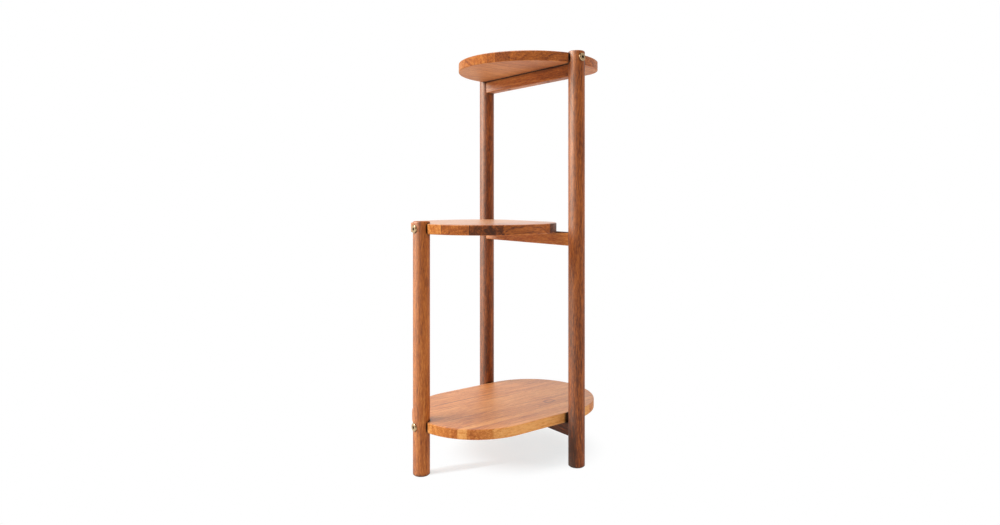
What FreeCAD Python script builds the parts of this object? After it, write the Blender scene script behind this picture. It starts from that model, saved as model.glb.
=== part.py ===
"""Tiered plant stand: three shelves of solid wood on one short and two tall round posts.

Millimetres, +Z up.  The origin lies on the floor under the middle of the whole stand, +X points from
the short post to the row of tall posts, and the stand is the same on both sides of the plane Y = 0.
"""
import FreeCAD, Part
import math
import os

from FreeCAD import Vector

# --- driving dimensions -------------------------------------------------------------------------
# posts
post_diameter = 30.0
tall_post_height = 750.0
short_post_height = 444.0
post_top_round = 2.5
post_foot_chamfer = 1.5
tall_post_spacing = 275.0       # between the axes of the two tall posts, along Y
post_row_distance = 243.0       # from the short post's axis to the row of tall posts, along X
short_post_above_shelf = 4.5    # how far the short post stands above the middle shelf
tall_post_above_shelf = 3.2     # how far the tall posts stand above the top shelf

# shelves
shelf_thickness = 18.0
shelf_edge_round = 2.0
bottom_shelf_top = 94.0
bottom_shelf_length = 374.0     # from the short post's axis to the far round end
round_shelf_inset = 1.0         # of the top shelf's rim from the axes of the tall posts
round_shelf_corner = 62.0       # radius of the two back corners of the middle and top shelves
notch_seat_clearance = 0.3      # between a post and the deepest line of its notch
notch_side_gap = 2.0            # between a post and the two corners of its notch
notch_corner_chamfer = 1.5      # on those corners
side_clearance = 0.5            # between the bottom shelf's sides and the tall posts

# crossbars between the tall posts, one under each shelf
crossbar_width = 20.0
crossbar_height = 24.0
crossbar_edge_round = 2.0
crossbar_end_clearance = 0.2    # between a hollowed bar end and the round post
middle_shelf_seat = 9.5         # how far the middle shelf's straight end lies over its crossbar

# furniture bolts and barrel nuts
bolt_diameter = 6.0
bolt_head_diameter = 14.0
bolt_head_height = 3.0
bolt_head_chamfer = 0.8
bolt_socket_across_flats = 4.0
bolt_socket_depth = 2.0
bolt_seat_depth = 1.5           # depth of the flat seat, cut into the round post
bolt_seat_clearance = 0.5       # round the head
bolt_hole_clearance = 0.25      # round the shank, in wood
thread_clearance = 0.05         # round the shank, in the barrel nut
nut_diameter = 10.0
nut_length = 13.0
nut_clearance = 0.2             # round the barrel nut, in its blind hole
nut_edge_distance = 30.0        # from the post's surface to the nut's axis
nut_slot_width = 1.2
nut_slot_depth = 1.0
bolt_past_nut = 8.0             # length of bolt beyond the nut's axis
hole_past_bolt = 3.0

# dowels in the ends of the crossbars
dowel_diameter = 8.0
dowel_in_post = 14.0            # measured from the post's surface
dowel_in_bar = 20.0
dowel_clearance = 0.1
dowel_end_gap = 1.0             # room for glue at each end

# wood screws up through the crossbars
screw_diameter = 3.5
screw_head_diameter = 7.0
screw_head_height = 2.4
screw_counterbore_depth = 8.0   # from the bar's underside to the head's bearing face
screw_counterbore_clearance = 0.3
screw_hole_clearance = 0.1
screw_in_shelf = 12.0
screw_tip_length = 4.0
screw_offset = 60.0             # of each screw from the plane Y = 0

# --- sizes and places that follow ---------------------------------------------------------------
post_radius = post_diameter / 2
bolt_head_proud = bolt_head_height - bolt_seat_depth

# a notch is a little wider than its post, so that the board is drawn up to the post in the middle
notch_depth = post_radius + notch_seat_clearance
notch_half_width = post_radius + notch_side_gap
notch_radius = (notch_depth + notch_half_width ** 2 / notch_depth) / 2
notch_reach = notch_half_width + notch_corner_chamfer

# the stand reaches from the heads of the short post's bolts to the bottom shelf's far end
x_short = (post_radius + bolt_head_proud - bottom_shelf_length) / 2
x_tall = x_short + post_row_distance
y_tall = tall_post_spacing / 2

round_shelf_radius = tall_post_spacing / 2 - round_shelf_inset
round_shelf_length = post_row_distance - crossbar_width / 2 + middle_shelf_seat
bottom_shelf_width = tall_post_spacing - post_diameter - 2 * side_clearance

middle_shelf_top = short_post_height - short_post_above_shelf
top_shelf_top = tall_post_height - tall_post_above_shelf
shelf_tops = {"bottom": bottom_shelf_top, "middle": middle_shelf_top, "top": top_shelf_top}

# the screws of the middle shelf go through the half of the bar that the shelf covers
middle_screw_shift = (middle_shelf_seat - crossbar_width) / 2
screw_shifts = {"bottom": 0.0, "middle": middle_screw_shift, "top": 0.0}

X = Vector(1, 0, 0)
Y = Vector(0, 1, 0)
Z = Vector(0, 0, 1)


# --- small helpers ------------------------------------------------------------------------------
def rod(radius, length, start, direction):
    """Round bar from start, along direction."""
    return Part.makeCylinder(radius, length, start, direction)


def turned(outline, start, direction):
    """Solid of revolution of an outline in the XZ plane, its axis laid along direction at start."""
    face = Part.Face(Part.makePolygon(outline + outline[:1]))
    solid = face.revolve(Vector(0, 0, 0), Z, 360)
    solid.Placement = FreeCAD.Placement(start, FreeCAD.Rotation(Z, direction))
    return solid


def hexagon_prism(across_flats, depth, start, direction):
    """Six-sided prism from start, along direction."""
    corner = across_flats / math.sqrt(3)
    points = [Vector(corner * math.cos(i * math.pi / 3), corner * math.sin(i * math.pi / 3), 0)
              for i in range(7)]
    prism = Part.Face(Part.makePolygon(points)).extrude(Z * depth)
    prism.Placement = FreeCAD.Placement(start, FreeCAD.Rotation(Z, direction))
    return prism


def notch_cutter(post_axis, inward):
    """Upright cutter for the notch of the post at post_axis; the board lies inward of the post."""
    cutter = rod(notch_radius, tall_post_height, Vector(0, 0, 0), Z)
    cutter.Placement = FreeCAD.Placement(post_axis - inward * (notch_radius - notch_depth),
                                         FreeCAD.Rotation(X, -inward))
    return cutter


def distance_across(edge, post_axis):
    """Level distance from an upright post axis to the middle of an edge."""
    middle = edge.CenterOfMass
    return math.hypot(middle.x - post_axis.x, middle.y - post_axis.y)


def board(outline, top, posts):
    """Shelf board of a closed outline, notched for its posts, its rim rounded above and below.

    posts are pairs of a post's axis on the floor and the direction from there into the board.
    """
    slab = Part.Face(outline).extrude(Z * shelf_thickness)
    slab.translate(Z * (top - shelf_thickness))
    for post_axis, inward in posts:
        slab = slab.cut(notch_cutter(post_axis, inward))

    def on_a_notch(edge):
        return any(distance_across(edge, post_axis) < notch_reach for post_axis, _ in posts)

    def is_level(edge):
        return edge.BoundBox.ZLength < shelf_thickness / 2

    corners = [edge for edge in slab.Edges if on_a_notch(edge) and not is_level(edge)]
    slab = slab.makeChamfer(notch_corner_chamfer, corners)
    rims = [edge for edge in slab.Edges if is_level(edge) and not on_a_notch(edge)]
    return slab.makeFillet(shelf_edge_round, rims)


# --- bolts: where each one is, and which way it is driven ----------------------------------------
class Bolt:
    """Furniture bolt through a post, at mid-thickness of the shelf that it pulls on."""

    def __init__(self, post_x, post_y, shelf, inward):
        self.inward = inward
        self.shelf = shelf
        height = shelf_tops[shelf] - shelf_thickness / 2
        self.axis_point = Vector(post_x, post_y, height)
        self.seat = self.along(bolt_seat_depth - post_radius)
        self.nut_point = self.along(post_radius + nut_edge_distance)

    def along(self, distance):
        """Point on the bolt's line, measured from the post's axis towards the shelf."""
        return self.axis_point + self.inward * distance

    def shank_length(self):
        return (self.nut_point - self.seat).Length + bolt_past_nut

    def solid(self):
        """Bolt with a flat, chamfered head and a hexagon socket."""
        head = bolt_head_diameter / 2
        shank = bolt_diameter / 2
        length = self.shank_length()
        outline = [Vector(0, 0, -bolt_head_height), Vector(head - bolt_head_chamfer, 0, -bolt_head_height),
                   Vector(head, 0, bolt_head_chamfer - bolt_head_height), Vector(head, 0, 0),
                   Vector(shank, 0, 0), Vector(shank, 0, length), Vector(0, 0, length)]
        body = turned(outline, self.seat, self.inward)
        mouth = self.seat - self.inward * bolt_head_height
        socket = hexagon_prism(bolt_socket_across_flats, bolt_socket_depth, mouth, self.inward)
        return body.cut(socket)

    def hole(self):
        """Seat for the head and hole for the shank, as one tool for the post and the shelf."""
        seat = rod(bolt_head_diameter / 2 + bolt_seat_clearance, post_radius,
                   self.seat - self.inward * post_radius, self.inward)
        shank = rod(bolt_diameter / 2 + bolt_hole_clearance, self.shank_length() + hole_past_bolt,
                    self.seat, self.inward)
        return seat.fuse(shank)

    def nut(self):
        """Barrel nut across the bolt, with a driver slot in its lower end."""
        start = self.nut_point - Z * nut_length / 2
        barrel = rod(nut_diameter / 2, nut_length, start, Z)
        thread = rod(bolt_diameter / 2 + thread_clearance, nut_diameter,
                     self.nut_point - self.inward * nut_diameter / 2, self.inward)
        slot = Part.makeBox(nut_diameter, nut_slot_width, nut_slot_depth,
                            Vector(-nut_diameter / 2, -nut_slot_width / 2, 0))
        slot.Placement = FreeCAD.Placement(start, FreeCAD.Rotation(X, self.inward))
        return barrel.cut(thread).cut(slot)

    def nut_hole(self):
        """Blind hole from the shelf's underside, deep enough for the nut."""
        underside = shelf_tops[self.shelf] - shelf_thickness
        top = self.nut_point.z + nut_length / 2 + nut_clearance
        start = Vector(self.nut_point.x, self.nut_point.y, underside)
        return rod(nut_diameter / 2 + nut_clearance, top - underside, start, Z)


bolts = {
    "short_post_bottom": Bolt(x_short, 0, "bottom", X),
    "short_post_middle": Bolt(x_short, 0, "middle", X),
    "top_left": Bolt(x_tall, y_tall, "top", -Y),
    "top_right": Bolt(x_tall, -y_tall, "top", Y),
}
nut_names = {
    "short_post_bottom": "barrel_nut_bottom",
    "short_post_middle": "barrel_nut_middle",
    "top_left": "barrel_nut_top_left",
    "top_right": "barrel_nut_top_right",
}


# --- crossbars, with the dowels and screws that go into them -------------------------------------
def bar_top(shelf):
    """Height of a crossbar's upper face, which is the underside of its shelf."""
    return shelf_tops[shelf] - shelf_thickness


def dowel(shelf, side):
    """Dowel across the joint of a crossbar and a tall post; side is +1 at the left post."""
    joint = side * (y_tall - post_radius)
    start = Vector(x_tall, joint + side * dowel_in_post, bar_top(shelf) - crossbar_height / 2)
    return rod(dowel_diameter / 2, dowel_in_post + dowel_in_bar, start, Y * -side)


def dowel_hole(shelf, side):
    """Hole for one dowel, in the post and in the bar's end."""
    joint = side * (y_tall - post_radius)
    start = Vector(x_tall, joint + side * (dowel_in_post + dowel_end_gap),
                   bar_top(shelf) - crossbar_height / 2)
    length = dowel_in_post + dowel_in_bar + 2 * dowel_end_gap
    return rod(dowel_diameter / 2 + dowel_clearance, length, start, Y * -side)


def screw_point(shelf, side):
    """Middle of a screw head's bearing face."""
    return Vector(x_tall + screw_shifts[shelf], side * screw_offset,
                  bar_top(shelf) - crossbar_height + screw_counterbore_depth)


def screw_shank_length():
    return crossbar_height - screw_counterbore_depth + screw_in_shelf


def screw(shelf, side):
    """Flat-topped wood screw, driven upwards."""
    shank = screw_diameter / 2
    head = screw_head_diameter / 2
    length = screw_shank_length()
    outline = [Vector(0, 0, -screw_head_height), Vector(head, 0, -screw_head_height), Vector(head, 0, 0),
               Vector(shank, 0, 0), Vector(shank, 0, length - screw_tip_length), Vector(0, 0, length)]
    point = screw_point(shelf, side)
    return turned(outline, point, Z)


def screw_hole(shelf, side):
    """Counterbore in the bar, and the hole through the bar and into the shelf."""
    point = screw_point(shelf, side)
    counterbore = rod(screw_head_diameter / 2 + screw_counterbore_clearance, screw_counterbore_depth,
                      point - Z * screw_counterbore_depth, Z)
    shank = rod(screw_diameter / 2 + screw_hole_clearance, screw_shank_length() + screw_hole_clearance,
                point, Z)
    return counterbore.fuse(shank)


def crossbar(shelf):
    """Bar under a shelf, its ends hollowed to fit the round posts."""
    top = bar_top(shelf)
    start = Vector(x_tall - crossbar_width / 2, -y_tall, top - crossbar_height)
    bar = Part.makeBox(crossbar_width, tall_post_spacing, crossbar_height, start)
    long_edges = [edge for edge in bar.Edges if abs(edge.Length - tall_post_spacing) < 0.001]
    bar = bar.makeFillet(crossbar_edge_round, long_edges)
    for side in (1, -1):
        hollow = rod(post_radius + crossbar_end_clearance, tall_post_height,
                     Vector(x_tall, side * y_tall, 0), Z)
        bar = bar.cut(hollow).cut(dowel_hole(shelf, side)).cut(screw_hole(shelf, side))
    return bar


# --- posts --------------------------------------------------------------------------------------
def rims_at(solid, height):
    """Round edges of a post at a height."""
    return [edge for edge in solid.Edges
            if isinstance(edge.Curve, Part.Circle) and abs(edge.Curve.Center.z - height) < 0.001]


def post(x, y, height):
    """Round post on the floor, with a chamfered foot and a rounded top."""
    blank = rod(post_radius, height, Vector(x, y, 0), Z)
    blank = blank.makeFillet(post_top_round, rims_at(blank, height))
    return blank.makeChamfer(post_foot_chamfer, rims_at(blank, 0))


def short_post():
    return (post(x_short, 0, short_post_height)
            .cut(bolts["short_post_bottom"].hole())
            .cut(bolts["short_post_middle"].hole()))


def tall_post(side, bolt):
    """Tall post; side is +1 for the left one."""
    blank = post(x_tall, side * y_tall, tall_post_height).cut(bolts[bolt].hole())
    for shelf in shelf_tops:
        blank = blank.cut(dowel_hole(shelf, side))
    return blank


# --- shelves ------------------------------------------------------------------------------------
def oblong_outline():
    """Outline of the bottom shelf: two straight sides and two half-round ends."""
    radius = bottom_shelf_width / 2
    near = x_short + radius
    far = x_short + bottom_shelf_length - radius
    return Part.Wire([
        Part.LineSegment(Vector(near, -radius, 0), Vector(far, -radius, 0)).toShape(),
        Part.Arc(Vector(far, -radius, 0), Vector(far + radius, 0, 0), Vector(far, radius, 0)).toShape(),
        Part.LineSegment(Vector(far, radius, 0), Vector(near, radius, 0)).toShape(),
        Part.Arc(Vector(near, radius, 0), Vector(near - radius, 0, 0), Vector(near, -radius, 0)).toShape(),
    ])


def round_outline(x_rim):
    """Outline of the middle and top shelves, from the rim point x_rim towards +X.

    A large arc goes round the front and the sides.  The straight back end joins it with two corner
    arcs that touch both.
    """
    centre = Vector(x_rim + round_shelf_radius, 0, 0)
    back = x_rim + round_shelf_length
    corner_x = back - round_shelf_corner
    corner_y = math.sqrt((round_shelf_radius - round_shelf_corner) ** 2 - (corner_x - centre.x) ** 2)
    turn = math.atan2(corner_y, corner_x - centre.x)

    def corner_arc(side):
        corner = Vector(corner_x, side * corner_y, 0)
        joint = centre + Vector(math.cos(turn), side * math.sin(turn), 0) * round_shelf_radius
        middle = corner + Vector(math.cos(turn / 2), side * math.sin(turn / 2), 0) * round_shelf_corner
        return joint, middle, Vector(back, side * corner_y, 0)

    left_joint, left_middle, left_end = corner_arc(1)
    right_joint, right_middle, right_end = corner_arc(-1)
    return Part.Wire([
        Part.Arc(left_joint, Vector(x_rim, 0, 0), right_joint).toShape(),
        Part.Arc(right_joint, right_middle, right_end).toShape(),
        Part.LineSegment(right_end, left_end).toShape(),
        Part.Arc(left_end, left_middle, left_joint).toShape(),
    ])


def drilled(shelf_board, shelf):
    """Board with its screw holes, bolt holes and barrel nut holes."""
    for side in (1, -1):
        shelf_board = shelf_board.cut(screw_hole(shelf, side))
    for bolt in bolts.values():
        if bolt.shelf == shelf:
            shelf_board = shelf_board.cut(bolt.hole()).cut(bolt.nut_hole())
    return shelf_board


short_post_notch = (Vector(x_short, 0, 0), X)
tall_post_notches = [(Vector(x_tall, side * y_tall, 0), Y * -side) for side in (1, -1)]


def shelf_bottom():
    return drilled(board(oblong_outline(), bottom_shelf_top, [short_post_notch]), "bottom")


def shelf_middle():
    return drilled(board(round_outline(x_short), middle_shelf_top, [short_post_notch]), "middle")


def shelf_top():
    """A board like the middle shelf, centred between the tall posts and notched for both."""
    outline = round_outline(x_tall - round_shelf_radius)
    return drilled(board(outline, top_shelf_top, tall_post_notches), "top")


# --- the whole stand ----------------------------------------------------------------------------
def pieces():
    """Every node of the stand, by name."""
    stand = {
        "short_post": short_post(),
        "tall_post_left": tall_post(1, "top_left"),
        "tall_post_right": tall_post(-1, "top_right"),
        "shelf_bottom": shelf_bottom(),
        "shelf_middle": shelf_middle(),
        "shelf_top": shelf_top(),
    }
    for name, bolt in bolts.items():
        stand["bolt_" + name] = bolt.solid()
        stand[nut_names[name]] = bolt.nut()
    for shelf in shelf_tops:
        stand["crossbar_" + shelf] = crossbar(shelf)
        stand["dowels_" + shelf] = Part.makeCompound([dowel(shelf, side) for side in (1, -1)])
        stand["screws_" + shelf] = Part.makeCompound([screw(shelf, side) for side in (1, -1)])
    return stand


def main():
    os.makedirs("parts", exist_ok=True)
    for name, shape in pieces().items():
        if not shape.isValid():
            raise ValueError(name + " is not a valid shape")
        shape.exportStep("parts/" + name + ".step")
        print(name, len(shape.Solids), "solid(s)", round(shape.Volume / 1000, 2), "cm3")


main()
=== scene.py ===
"""Tiered plant stand: wood and metal finishes, a pale floor, soft studio light and the camera.

Metres, in the part's own frame: +Z up, +X from the short post to the row of tall posts.
"""

import math

import bpy
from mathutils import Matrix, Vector

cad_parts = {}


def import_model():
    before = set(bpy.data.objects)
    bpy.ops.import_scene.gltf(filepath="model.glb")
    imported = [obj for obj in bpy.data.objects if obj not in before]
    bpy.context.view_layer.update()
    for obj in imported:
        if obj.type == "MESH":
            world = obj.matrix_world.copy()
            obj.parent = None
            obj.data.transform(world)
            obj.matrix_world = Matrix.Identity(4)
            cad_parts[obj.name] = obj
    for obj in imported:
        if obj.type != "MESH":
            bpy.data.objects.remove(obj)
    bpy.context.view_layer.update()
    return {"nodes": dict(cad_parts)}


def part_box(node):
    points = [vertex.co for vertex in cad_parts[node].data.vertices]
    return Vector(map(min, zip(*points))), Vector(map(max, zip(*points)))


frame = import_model()

# --- camera, found from the straight edges of the stand in the photograph -------------------------
CAMERA_PLACE = Vector((-0.79885, -1.0420, 0.4892))
CAMERA_HEADING = math.radians(52.71)        # of the level line of sight, from +X towards +Y
SENSOR_WIDTH = 36.0                         # sensor and lens are in millimetres
LENS = 24.692
SHIFT_Y = -0.0671                           # the horizon lies above the middle of the photograph

# directions as the camera sees them, for placing the lights
AHEAD = Vector((math.cos(CAMERA_HEADING), math.sin(CAMERA_HEADING), 0.0))
LEFT = Vector((-AHEAD.y, AHEAD.x, 0.0))
UP = Vector((0.0, 0.0, 1.0))


# --- small helpers --------------------------------------------------------------------------------
def tone(red, green, blue):
    """Colour from its usual 0 to 255 numbers, as the linear colour that shaders take."""
    def linear(value):
        share = value / 255.0
        return share / 12.92 if share <= 0.04045 else ((share + 0.055) / 1.055) ** 2.4
    return (linear(red), linear(green), linear(blue), 1.0)


BLACK = tone(0, 0, 0)
WHITE = tone(255, 255, 255)


class Shader:
    """The node tree of a material or of the world, with short calls that add its nodes."""

    def __init__(self, name, kind=bpy.data.materials):
        self.owner = kind.new(name)
        self.owner.use_nodes = True
        self.tree = self.owner.node_tree
        self.tree.nodes.clear()

    def add(self, kind, inputs=(), **settings):
        """Adds a node.  Each of inputs is a value or another node's output; None leaves one alone."""
        node = self.tree.nodes.new(kind)
        for name, value in settings.items():
            setattr(node, name, value)
        for socket, value in inputs.items() if isinstance(inputs, dict) else enumerate(inputs):
            if isinstance(value, bpy.types.NodeSocket):
                self.tree.links.new(value, node.inputs[socket])
            elif value is not None:
                node.inputs[socket].default_value = value
        return node

    def math(self, operation, a, b=None, c=None):
        return self.add("ShaderNodeMath", (a, b, c), operation=operation).outputs[0]

    def total(self, terms):
        """Sum of several numbers."""
        result = terms[0]
        for term in terms[1:]:
            result = self.math("ADD", result, term)
        return result

    def hypotenuse(self, a, b):
        """Distance of a point from the origin, from its two coordinates."""
        return self.math("SQRT", self.math("MULTIPLY_ADD", a, a, self.math("MULTIPLY", b, b)))

    def swing(self, value, size):
        """Turns a value from 0 to 1 into one round zero, size from end to end."""
        return self.math("MULTIPLY_ADD", value, size, -size / 2)

    def split(self, vector):
        return self.add("ShaderNodeSeparateXYZ", (vector,)).outputs

    def join(self, x, y, z):
        return self.add("ShaderNodeCombineXYZ", (x, y, z)).outputs[0]

    def noise(self, vector, scale=1.0, detail=2.0, rough=0.5):
        node = self.add("ShaderNodeTexNoise", {"Vector": vector, "Scale": scale, "Detail": detail,
                                               "Roughness": rough})
        return node.outputs["Fac"]

    def noise_along(self, value, scale, detail, rough):
        """Noise that varies with one number."""
        node = self.add("ShaderNodeTexNoise", {"W": value, "Scale": scale, "Detail": detail,
                                               "Roughness": rough}, noise_dimensions="1D")
        return node.outputs["Fac"]

    def remap(self, value, low, high, new_low=0.0, new_high=1.0, smooth=False):
        kind = "SMOOTHSTEP" if smooth else "LINEAR"
        node = self.add("ShaderNodeMapRange", (value, low, high, new_low, new_high),
                        interpolation_type=kind)
        return node.outputs[0]

    def ramp(self, value, stops, interpolation="LINEAR"):
        """Colour ramp through stops, each a place and a colour."""
        node = self.add("ShaderNodeValToRGB", (value,))
        elements = node.color_ramp.elements
        node.color_ramp.interpolation = interpolation
        while len(elements) < len(stops):
            elements.new(0.5)
        for element, (place, colour) in zip(elements, stops):
            element.position = place
            element.color = colour
        return node.outputs[0]

    def mix(self, share, a, b):
        """Colour a where share is 0 and b where it is 1."""
        return self.add("ShaderNodeMix", {0: share, 6: a, 7: b}, data_type="RGBA").outputs[2]

    def seen_directly(self):
        """1 for what the camera sees, also in a mirror or through glass, and 0 for other light paths."""
        path = self.add("ShaderNodeLightPath").outputs
        straight = self.math("MAXIMUM", path["Is Camera Ray"], path["Is Transmission Ray"])
        return self.math("MAXIMUM", straight, path["Is Glossy Ray"])

    def finish(self, surface, output="ShaderNodeOutputMaterial"):
        self.tree.links.new(surface, self.add(output).inputs["Surface"])
        return self.owner


# --- faces, and painted shade in the gaps between pieces, for the wood and metal finishes ---------
FLAT_SLOPE = 0.8                            # upward part of the normal on a face that counts as flat
STEEP_SLOPE = 0.3                           # and on one that counts as upright
# painted shade: the colour of the shade that falls in the narrow gaps between pieces
CREVICE_SHADE_TONE = tone(26, 7, 0)
CREVICE_SHADE_REACH = 0.010                       # how far away another face still casts painted shade into a gap
OPEN_FROM = 0.84                            # share of open space at which the painted shade begins
CLOSED_FROM = 0.44                          # and at which it is full
CREVICE_SHADE_SHARE = 0.95


def facing_shares(shader):
    """How far a face is upright, as a shelf's rim is, and how far it looks up."""
    slope = shader.split(shader.add("ShaderNodeTexCoord").outputs["Normal"])[2]
    upright = shader.remap(shader.math("ABSOLUTE", slope), FLAT_SLOPE, STEEP_SLOPE, smooth=True)
    return upright, shader.remap(slope, STEEP_SLOPE, FLAT_SLOPE, smooth=True)


def painted_crevice_shade(shader):
    """How much shade is painted into the narrow gaps between the pieces, where other faces are near, from 0
    in the open.
    """
    open_share = shader.add("ShaderNodeAmbientOcclusion", {"Distance": CREVICE_SHADE_REACH}, samples=8)
    return shader.remap(open_share.outputs["AO"], OPEN_FROM, CLOSED_FROM, 0.0, CREVICE_SHADE_SHARE, smooth=True)


# --- wood -----------------------------------------------------------------------------------------
# the wood's colour by its depth, which is 0.5 on average before a piece's shade is added
WOOD_TONES = ((0.10, tone(224, 160, 90)), (0.36, tone(202, 126, 56)), (0.60, tone(170, 90, 28)),
              (0.82, tone(120, 54, 12)), (1.0, tone(66, 26, 6)))
PORE_TONE = WOOD_TONES[-1][1]

# patterns of the wood: cycles per metre along the grain and across it
WANDER = (6.0, 14.0)
CLOUDS = (12.0, 60.0)
STREAKS = (18.0, 330.0)
FLECKS = (120.0, 620.0)
PORES = (90.0, 1500.0)
RINGS = 170.0                               # across the growth rings only

SWAY = 0.040                                # how far the grain wanders from side to side
CLOUD_DEPTH = 0.30                          # how much the clouds and the flecks change the depth
FLECK_DEPTH = 0.56
PORE_RANGE = (0.60, 0.72)                   # values of their pattern between which the pores begin
PORE_DARK = 0.40
STREAK_HEIGHT = 0.5                         # of the fibres, as a share of the pores' depth
BUMP_STRENGTH = 0.35
BUMP_HEIGHT = 0.0002
STREAK_RANGE = (0.3, 0.7)                   # usual values of the streaks, and the roughness for them
ROUGHNESS = (0.50, 0.62)
OIL_TINT = (1.0, 0.84, 0.66, 1.0)           # of the reflection at a steep view
SHEEN = 0.12
SHEEN_ROUGHNESS = 0.35
SHEEN_TINT = (1.0, 0.86, 0.72, 1.0)

# boards glued up from staves
SEAM_WIDTH = 0.0008                         # of the glue lines between the staves
SEAM_SHADE = 0.20
RIM_SHADE = 0.06                            # a shelf's upright rim is made this much darker than its top and underside
RIM_CONTRAST = 0.8                          # and shows the staves' differences more
MIDDLE_SHADE = -0.08                        # the shade round which that contrast turns
GOLDEN_STEP = 0.618                         # gives each stave a number unlike its neighbours' numbers
SEED_SPREAD = 7.0                           # difference that this number makes to a stave's pattern
PITH_SPREAD = 0.5                           # and to where its tree had its middle
KNOT_RING = 0.35                            # width of a knot's ring, as a share of its radius


def by_grain(place, along):
    """Coordinates of a place in another order: along the grain, then the two across it."""
    x, y, z = place
    return {"X": (x, y, z), "Y": (y, x, z), "Z": (z, x, y)}[along]


def grain_noise(shader, grain, cycles, seed, detail=3.0, rough=0.5):
    """Noise drawn out along the grain."""
    a, u, v = grain
    along, across = cycles
    place = shader.join(shader.math("MULTIPLY_ADD", a, along, seed),
                        shader.math("MULTIPLY", u, across), shader.math("MULTIPLY", v, across))
    return shader.noise(place, detail=detail, rough=rough)


def stave_values(shader, u, staves):
    """Shade of the stave at u, a number from 0 to 1 of its own, and 1 on the glue lines."""
    first, last = staves[0][0], staves[-1][0]
    across = shader.remap(u, first, last)
    stops = [((edge - first) / (last - first), (shade, (i * GOLDEN_STEP + 0.1) % 1.0, 0.0, 1.0))
             for i, (edge, shade) in enumerate(staves[:-1])]
    red, green, _ = shader.split(shader.ramp(across, stops, "CONSTANT"))
    seam = SEAM_WIDTH / (last - first)
    edges = [(0.0, BLACK)]
    for place, _ in stops[1:]:
        edges += [(place - seam / 2, WHITE), (place + seam / 2, BLACK)]
    return shader.math("SUBTRACT", red, 0.5), green, shader.ramp(across, edges, "CONSTANT")


def distance_on_grain(shader, spot, place, size):
    """Distance from a place on the board, where 1 is size[0] along the grain or size[1] across it."""
    da = shader.math("DIVIDE", shader.math("SUBTRACT", spot[0], place[0]), size[0])
    du = shader.math("DIVIDE", shader.math("SUBTRACT", spot[1], place[1]), size[1])
    return shader.hypotenuse(da, du)


def bell(shader, value, strength):
    """Bell curve of value, strength high."""
    squared = shader.math("MULTIPLY", value, value)
    return shader.math("MULTIPLY", shader.math("EXPONENT", shader.math("MULTIPLY", squared, -1.0)), strength)


def knot(shader, spot, place, size, strength):
    """The dark ring of a small knot."""
    distance = distance_on_grain(shader, spot, place, size)
    off_ring = shader.math("DIVIDE", shader.math("SUBTRACT", distance, 1.0), KNOT_RING)
    return bell(shader, off_ring, strength)


def dark_mark(shader, spot, place, size, strength):
    """A dark patch with soft edges, such as a streak of heartwood."""
    return bell(shader, distance_on_grain(shader, spot, place, size), strength)


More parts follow.
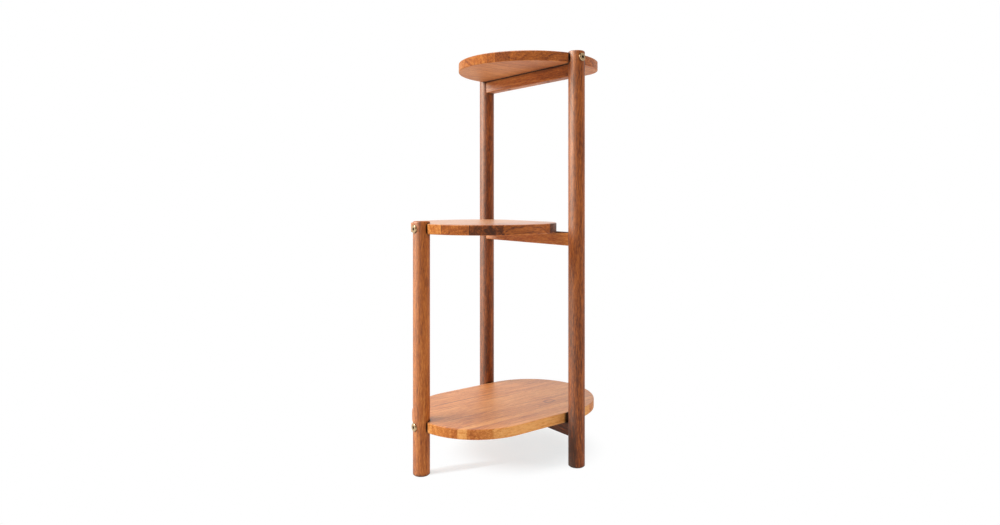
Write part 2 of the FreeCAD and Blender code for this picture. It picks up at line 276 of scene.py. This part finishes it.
def wood(name, along, seed, centre, pith, shade=0.0, fade=None, staves=None, knots=(), marks=(),
         top_shade=0.0, polish_blur=0.45, figure=0.26, fibre=0.60):
    """Oiled acacia.

    along is the axis of the grain, centre the piece's middle across it, and pith the middle of the
    growth rings, from there.  shade makes the wood darker, and top_shade only where it looks up: on the
    middle crossbar's top that is painted shade, and on the middle shelf's top, below zero, a little
    painted reflection.  fade (start, end, extra) makes it darker by extra from one place along the
    grain to another; on the top crossbar that is painted shade.  staves, each (edge, shade), make it a
    board of glued staves with a polished top, whose polish has the roughness polish_blur.  knots and
    marks are each (place, size, strength), with places and sizes along and across the grain.  figure
    and fibre are how much the growth rings and the fibres show.
    """
    shader = Shader(name)
    a, u, v = by_grain(shader.split(shader.add("ShaderNodeTexCoord").outputs["Object"]), along)
    u = shader.math("SUBTRACT", u, centre[0])
    v = shader.math("SUBTRACT", v, centre[1])
    upright, upward = facing_shares(shader)
    pith_u, pith_v = pith
    if fade:
        start, end, extra = fade
        # on the top crossbar, fade is painted shade
        shade = shader.remap(a, start, end, shade, shade + extra, smooth=True)
    if staves:
        shade, own_number, seams = stave_values(shader, u, staves)
        seed = shader.math("MULTIPLY_ADD", own_number, SEED_SPREAD, seed)
        pith_u = shader.swing(own_number, PITH_SPREAD)
        contrast = shader.math("MULTIPLY", shader.math("SUBTRACT", shade, MIDDLE_SHADE), RIM_CONTRAST)
        shade = shader.math("MULTIPLY_ADD", upright, shader.math("ADD", contrast, RIM_SHADE), shade)
        shade = shader.math("MULTIPLY_ADD", seams, SEAM_SHADE, shade)
    # top_shade is painted shade on the middle crossbar's top and a painted reflection on the middle shelf's
    # top
    shade = shader.math("MULTIPLY_ADD", upward, top_shade, shade)

    # growth rings round a pith outside the piece, fibres and clouds, all with a slow wander
    sway = shader.swing(grain_noise(shader, (a, u, v), WANDER, seed), SWAY)
    swayed = (a, shader.math("ADD", u, sway), v)
    reach = shader.hypotenuse(shader.math("SUBTRACT", u, pith_u), shader.math("SUBTRACT", v, pith_v))
    rings = shader.noise_along(shader.total([reach, sway, seed]), RINGS, 3.0, 0.55)
    streaks = grain_noise(shader, swayed, STREAKS, seed, rough=0.65)
    clouds = grain_noise(shader, swayed, CLOUDS, seed)
    flecks = grain_noise(shader, (a, u, v), FLECKS, seed, 2.0, 0.6)
    pores = shader.remap(grain_noise(shader, (a, u, v), PORES, seed, 1.0), *PORE_RANGE, smooth=True)

    depth = shader.total([0.5, shader.swing(rings, figure), shader.swing(streaks, fibre),
                          shader.swing(clouds, CLOUD_DEPTH), shader.swing(flecks, FLECK_DEPTH), shade]
                         + [knot(shader, (a, u), *spot) for spot in knots]
                         + [dark_mark(shader, (a, u), *spot) for spot in marks])
    colour = shader.ramp(depth, WOOD_TONES)
    colour = shader.mix(shader.math("MULTIPLY", pores, PORE_DARK), colour, PORE_TONE)
    # painted shade darkens the gaps between this piece and its neighbours
    colour = shader.mix(painted_crevice_shade(shader), colour, CREVICE_SHADE_TONE)

    height = shader.math("SUBTRACT", shader.math("MULTIPLY", streaks, STREAK_HEIGHT), pores)
    bump = shader.add("ShaderNodeBump", {"Strength": BUMP_STRENGTH, "Distance": BUMP_HEIGHT,
                                         "Height": height})
    rough = shader.remap(streaks, *STREAK_RANGE, *ROUGHNESS)
    if not staves:
        rough = shader.math("MAXIMUM", rough, upward)       # sawn ends and the tops of bars are dull
    surface = shader.add("ShaderNodeBsdfPrincipled", {
        "Base Color": colour,
        "Roughness": rough,
        "Normal": bump.outputs[0],
        "Specular IOR Level": 0.5,
        "Specular Tint": OIL_TINT,
        "Coat Weight": upward if staves else 0.0,
        "Coat Roughness": polish_blur,
        "Sheen Weight": SHEEN,
        "Sheen Roughness": SHEEN_ROUGHNESS,
        "Sheen Tint": SHEEN_TINT})
    return shader.finish(surface.outputs[0])


# --- metal ----------------------------------------------------------------------------------------
SOCKET_SHADE_RADIUS = 0.0028                      # of the painted shade round a bolt's hexagon socket
SOCKET_SHADE_EDGE = 0.85                          # share of that radius at which the painted shade is full
WEAR_CYCLES = 260.0                         # cycles per metre of the cloudy wear and of the fine finish
FINISH_CYCLES = 2600.0
WEAR_RANGE = (0.3, 0.7)
METAL_BUMP_STRENGTH = 0.15
METAL_BUMP_HEIGHT = 0.0001


def plated_metal(name, colour, worn, roughness, axis=None, across=None):
    """Plated steel with faint cloudy wear, with painted shade in its gaps and in a socket round axis, which
    runs along X or Y.
    """
    shader = Shader(name)
    place = shader.add("ShaderNodeTexCoord").outputs["Object"]
    wear = shader.noise(place, WEAR_CYCLES, 3.0)
    fine = shader.noise(place, FINISH_CYCLES, 2.0)
    finish = shader.mix(wear, colour, worn)
    # painted shade: in the gaps against other pieces, and in a bolt's hexagon socket below
    dark = painted_crevice_shade(shader)
    if axis:
        x, y, z = shader.split(place)
        side = shader.math("SUBTRACT", y if across == "X" else x, axis[0])
        radius = shader.hypotenuse(side, shader.math("SUBTRACT", z, axis[1]))
        # painted shade in the hexagon socket, where the recess lies in shade
        socket = shader.remap(radius, SOCKET_SHADE_RADIUS, SOCKET_SHADE_RADIUS * SOCKET_SHADE_EDGE)
        dark = shader.math("MAXIMUM", dark, socket)
    bump = shader.add("ShaderNodeBump", {"Strength": METAL_BUMP_STRENGTH, "Distance": METAL_BUMP_HEIGHT,
                                         "Height": fine})
    surface = shader.add("ShaderNodeBsdfPrincipled", {
        "Base Color": shader.mix(dark, finish, CREVICE_SHADE_TONE),
        "Metallic": 1.0,
        "Roughness": shader.remap(wear, *WEAR_RANGE, roughness - 0.06, roughness + 0.08),
        "Normal": bump.outputs[0]})
    return shader.finish(surface.outputs[0])


# --- finishes of the pieces -----------------------------------------------------------------------
POSTS = {
    "short_post": {"seed": 1.3, "shade": 0.12},
    "tall_post_left": {"seed": 4.1, "shade": 0.31},
    "tall_post_right": {"seed": 7.7, "shade": 0.24, "fade": (0.46, 0.02, 0.06),
                        "marks": (((0.030, -0.0150), (0.050, 0.005), 0.28),)},
}
CROSSBARS = {
    "crossbar_bottom": {"seed": 2.2, "shade": 0.46},
    # the middle crossbar's top_shade paints shade on the bar's top face, under the middle shelf's edge
    "crossbar_middle": {"seed": 5.4, "shade": 0.02, "top_shade": 0.6},
    # the top crossbar's fade is painted shade: darker towards tall_post_right, where the top shelf shades it
    "crossbar_top": {"seed": 8.9, "shade": 0.06, "fade": (0.03, -0.12, 0.16)},
}

# staves of the shelves: where each one begins, from the right side, and its shade; the last is the end
BOTTOM_STAVES = ((-0.125, 0.26), (-0.112, 0.41), (-0.088, 0.26), (-0.075, 0.42), (-0.056, 0.38),
                 (-0.030, 0.34), (0.026, 0.38), (0.056, 0.42), (0.090, 0.38), (0.125, 0.0))
MIDDLE_STAVES = ((-0.137, 0.55), (-0.126, 0.68), (-0.094, 0.53), (-0.050, 0.41), (-0.004, 0.40),
                 (0.042, 0.40), (0.090, 0.44), (0.137, 0.0))
TOP_STAVES = ((-0.137, 0.54), (-0.082, 0.58), (-0.058, 0.53), (-0.042, 0.46), (-0.010, 0.47),
              (0.022, 0.44), (0.064, 0.46), (0.104, 0.50), (0.137, 0.0))
BOTTOM_KNOTS = (((0.075, -0.050), (0.010, 0.007), 0.28),)
BOTTOM_MARKS = (((-0.080, 0.056), (0.075, 0.0014), 0.40), ((-0.060, 0.036), (0.060, 0.0012), 0.32),
                ((0.100, 0.038), (0.060, 0.004), 0.12), ((-0.100, -0.034), (0.040, 0.014), 0.10),
                ((-0.115, -0.092), (0.030, 0.005), 0.16), ((-0.150, -0.070), (0.020, 0.005), 0.12),
                ((-0.010, -0.098), (0.060, 0.006), 0.14))
SHELVES = {
    "shelf_bottom": {"seed": 3.0, "staves": BOTTOM_STAVES, "knots": BOTTOM_KNOTS, "marks": BOTTOM_MARKS,
                     "top_shade": 0.04},
    # the middle shelf's negative top_shade paints its top a little paler, painted reflection added to the
    # polish's real one
    "shelf_middle": {"seed": 6.0, "staves": MIDDLE_STAVES, "top_shade": -0.04, "polish_blur": 0.32},
    "shelf_top": {"seed": 9.0, "staves": TOP_STAVES},
}
SHELF_FIGURE = 0.45                         # flat boards show more of the rings than round posts do
SHELF_FIBRE = 0.65

POST_PITH = (0.035, -0.05)
BAR_PITH = (0.03, -0.04)
SHELF_PITH = (0.0, -0.06)
DOWEL_SEED = 11.0
DOWEL_LINE = (0.064, 0.0)                   # the dowels lie along Y, near this line
DOWEL_SHADE = -0.25

NICKEL, WORN_NICKEL = tone(226, 200, 160), tone(182, 144, 94)
ZINC, WORN_ZINC = tone(196, 198, 200), tone(160, 162, 166)
NICKEL_ROUGHNESS = 0.30
ZINC_ROUGHNESS = 0.36


def named(*beginnings):
    """The nodes whose names begin in one of these ways."""
    return [name for name in frame["nodes"] if name.startswith(beginnings)]


def paint(nodes, material):
    for name in nodes:
        for slot in frame["nodes"][name].material_slots:
            slot.material = material


def paint_wood(looks, along, pith, **common):
    """Gives each piece a wood of its own, its grain running along one axis."""
    for name, look in looks.items():
        low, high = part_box(name)
        _, *centre = by_grain((low + high) / 2, along)
        paint([name], wood(name + "_wood", along, centre=centre, pith=pith, **look, **common))


def paint_dowels():
    for number, name in enumerate(sorted(named("dowels_"))):
        paint([name], wood(name + "_wood", "Y", DOWEL_SEED + number, DOWEL_LINE, BAR_PITH, DOWEL_SHADE))


def paint_metal():
    """Nickel on the bolts, each with painted shade in its own socket, and zinc on the hidden nuts and screws.
    """
    for name in named("bolt_"):
        low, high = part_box(name)
        size, middle = high - low, (low + high) / 2
        across = "X" if size.x > size.y else "Y"
        axis = (middle.y if across == "X" else middle.x, middle.z)
        paint([name], plated_metal(name + "_nickel", NICKEL, WORN_NICKEL, NICKEL_ROUGHNESS, axis, across))
    paint(named("barrel_nut_", "screws_"), plated_metal("zinc", ZINC, WORN_ZINC, ZINC_ROUGHNESS))


# --- floor ----------------------------------------------------------------------------------------
FLOOR_RADIUS = 12.0
FLOOR_SIDES = 64
FLOOR_TONE = tone(238, 238, 238)
SHADOW_MIDDLE = (0.050, 0.0, 0.0)           # the floor is plain white to the camera, except round here
SHADOW_INNER = 0.07                         # full strength of the shadow up to this distance
SHADOW_OUTER = 0.17                         # and none beyond this one
SHADOW_SHARE = 0.44                         # share of the real light on the floor that shows there
SHADOW_GLOW = (0.60, 0.64, 0.65, 1.0)       # even light added to that share, cool against the wood's glow
STREAK_START = (-0.163, 0.0)                # the short post's own shadow shows too, along this line
STREAK_TURN = math.radians(-17.2)
STREAK_INNER = 0.0072                       # full strength up to this distance from the line
STREAK_OUTER = 0.0192
STREAK_RISE = 0.02                          # length over which it begins at the post
STREAK_LENGTH = 0.26


def post_shadow(shader, place):
    """How much of the short post's shadow shows on the floor, from 0 to 1."""
    x, y, _ = shader.split(place)
    x = shader.math("SUBTRACT", x, STREAK_START[0])
    y = shader.math("SUBTRACT", y, STREAK_START[1])
    turn_x, turn_y = math.cos(STREAK_TURN), math.sin(STREAK_TURN)
    along = shader.math("MULTIPLY_ADD", x, turn_x, shader.math("MULTIPLY", y, turn_y))
    off = shader.math("ABSOLUTE", shader.math("MULTIPLY_ADD", y, turn_x, shader.math("MULTIPLY", x, -turn_y)))
    streak = shader.math("MULTIPLY", shader.remap(off, STREAK_OUTER, STREAK_INNER, smooth=True),
                         shader.remap(along, STREAK_LENGTH, STREAK_LENGTH / 2, smooth=True))
    return shader.math("MULTIPLY", streak, shader.remap(along, -STREAK_RISE, 0.0))


def floor_finish():
    """Pale floor; the camera sees it white, with the real shadow only near the stand."""
    shader = Shader("pale_floor")
    place = shader.add("ShaderNodeTexCoord").outputs["Object"]
    distance = shader.add("ShaderNodeVectorMath", (place, SHADOW_MIDDLE), operation="DISTANCE")
    pool = shader.remap(distance.outputs["Value"], SHADOW_OUTER, SHADOW_INNER, smooth=True)
    fade = shader.math("SUBTRACT", 1.0, shader.math("MAXIMUM", pool, post_shadow(shader, place)))
    lit = shader.add("ShaderNodeBsdfDiffuse", {"Color": (SHADOW_SHARE,) * 3 + (1.0,)})
    glow = shader.add("ShaderNodeEmission", {"Color": SHADOW_GLOW})
    shaded = shader.add("ShaderNodeAddShader", (lit.outputs[0], glow.outputs[0]))
    white = shader.add("ShaderNodeEmission", {"Color": WHITE})
    shown = shader.add("ShaderNodeMixShader", (fade, shaded.outputs[0], white.outputs[0]))
    plain = shader.add("ShaderNodeBsdfDiffuse", {"Color": FLOOR_TONE})
    surface = shader.add("ShaderNodeMixShader", (shader.seen_directly(), plain.outputs[0], shown.outputs[0]))
    return shader.finish(surface.outputs[0])


def floor():
    turns = [i * math.tau / FLOOR_SIDES for i in range(FLOOR_SIDES)]
    rim = [(FLOOR_RADIUS * math.cos(turn), FLOOR_RADIUS * math.sin(turn), 0.0) for turn in turns]
    mesh = bpy.data.meshes.new("floor")
    mesh.from_pydata(rim, [], [range(FLOOR_SIDES)])
    mesh.materials.append(floor_finish())
    disc = bpy.data.objects.new("floor", mesh)
    bpy.context.scene.collection.objects.link(disc)


# --- light and camera -----------------------------------------------------------------------------
# lamps: the level direction towards each, its elevation and its width in degrees, and its strength
KEY = (LEFT - AHEAD * 0.17, 26.0, 34.0, 1.7)
OVERHEAD = (LEFT * 0.94 - AHEAD * 0.34, 58.0, 35.0, 2.2)
FILL = (-LEFT, 15.0, 45.0, 1.2)
GLOSS_ON_SLENDER = 15.7
GLOSS_ON_BOLTS = 1.7
WORLD_LIGHT = 0.44
MIRRORED_DARK = 0.10                        # what a reflection shows of the dim side of the studio
DIM_SIDE = (-0.5, 0.2)                      # that side passes into the white one between these shares ahead


def world():
    """Even soft light; white behind the stand, and in reflections dim on the side of the camera."""
    shader = Shader("studio", bpy.data.worlds)
    direction = shader.add("ShaderNodeTexCoord").outputs["Generated"]
    ahead = shader.add("ShaderNodeVectorMath", (direction, AHEAD), operation="DOT_PRODUCT").outputs["Value"]
    mirrored = shader.remap(ahead, *DIM_SIDE, MIRRORED_DARK, 1.0, smooth=True)
    glossy = shader.add("ShaderNodeLightPath").outputs["Is Glossy Ray"]
    strength = shader.add("ShaderNodeMix", (glossy, None, 1.0, mirrored)).outputs[0]
    white = shader.add("ShaderNodeBackground", {"Color": WHITE, "Strength": strength})
    soft = shader.add("ShaderNodeBackground", {"Color": WHITE, "Strength": WORLD_LIGHT})
    surface = shader.add("ShaderNodeMixShader", (shader.seen_directly(), soft.outputs[0], white.outputs[0]))
    bpy.context.scene.world = shader.finish(surface.outputs[0], "ShaderNodeOutputWorld")


def soft_sun(name, heading, elevation, width, strength):
    """Distant light of a wide angle."""
    lamp = bpy.data.lights.new(name, "SUN")
    lamp.angle = math.radians(width)
    lamp.energy = strength
    climb = math.radians(elevation)
    towards = heading.normalized() * math.cos(climb) + UP * math.sin(climb)
    holder = bpy.data.objects.new(name, lamp)
    holder.rotation_euler = (-towards).to_track_quat("-Z", "Y").to_euler()
    bpy.context.scene.collection.objects.link(holder)
    return holder


def gloss(name, pieces, strength):
    """Lamp in the key light's place that only adds gloss, and only on some pieces.

    The shelves have none, because their wide tops would glare in it from the other side.
    """
    heading, elevation, width, _ = KEY
    lamp = soft_sun(name, heading, elevation, width, strength)
    lamp.visible_diffuse = False
    group = bpy.data.collections.new(name)
    for piece in pieces:
        group.objects.link(frame["nodes"][piece])
    lamp.light_linking.receiver_collection = group


def lights():
    key = soft_sun("key", *KEY)
    key.visible_glossy = False
    gloss("gloss on slender pieces", [*POSTS, *CROSSBARS], GLOSS_ON_SLENDER)
    gloss("gloss on bolts", named("bolt_"), GLOSS_ON_BOLTS)
    soft_sun("overhead", *OVERHEAD)
    fill = soft_sun("fill", *FILL)
    fill.visible_glossy = False


def camera():
    lens = bpy.data.cameras.new("camera")
    lens.sensor_width = SENSOR_WIDTH
    lens.lens = LENS
    lens.shift_y = SHIFT_Y
    holder = bpy.data.objects.new("camera", lens)
    holder.location = CAMERA_PLACE
    holder.rotation_euler = AHEAD.to_track_quat("-Z", "Y").to_euler()
    bpy.context.scene.collection.objects.link(holder)
    bpy.context.scene.camera = holder


paint_wood(POSTS, "Z", POST_PITH)
paint_wood(CROSSBARS, "Y", BAR_PITH)
paint_wood(SHELVES, "X", SHELF_PITH, figure=SHELF_FIGURE, fibre=SHELF_FIBRE)
paint_dowels()
paint_metal()
floor()
world()
lights()
camera()
bpy.context.scene.view_settings.view_transform = "Standard"
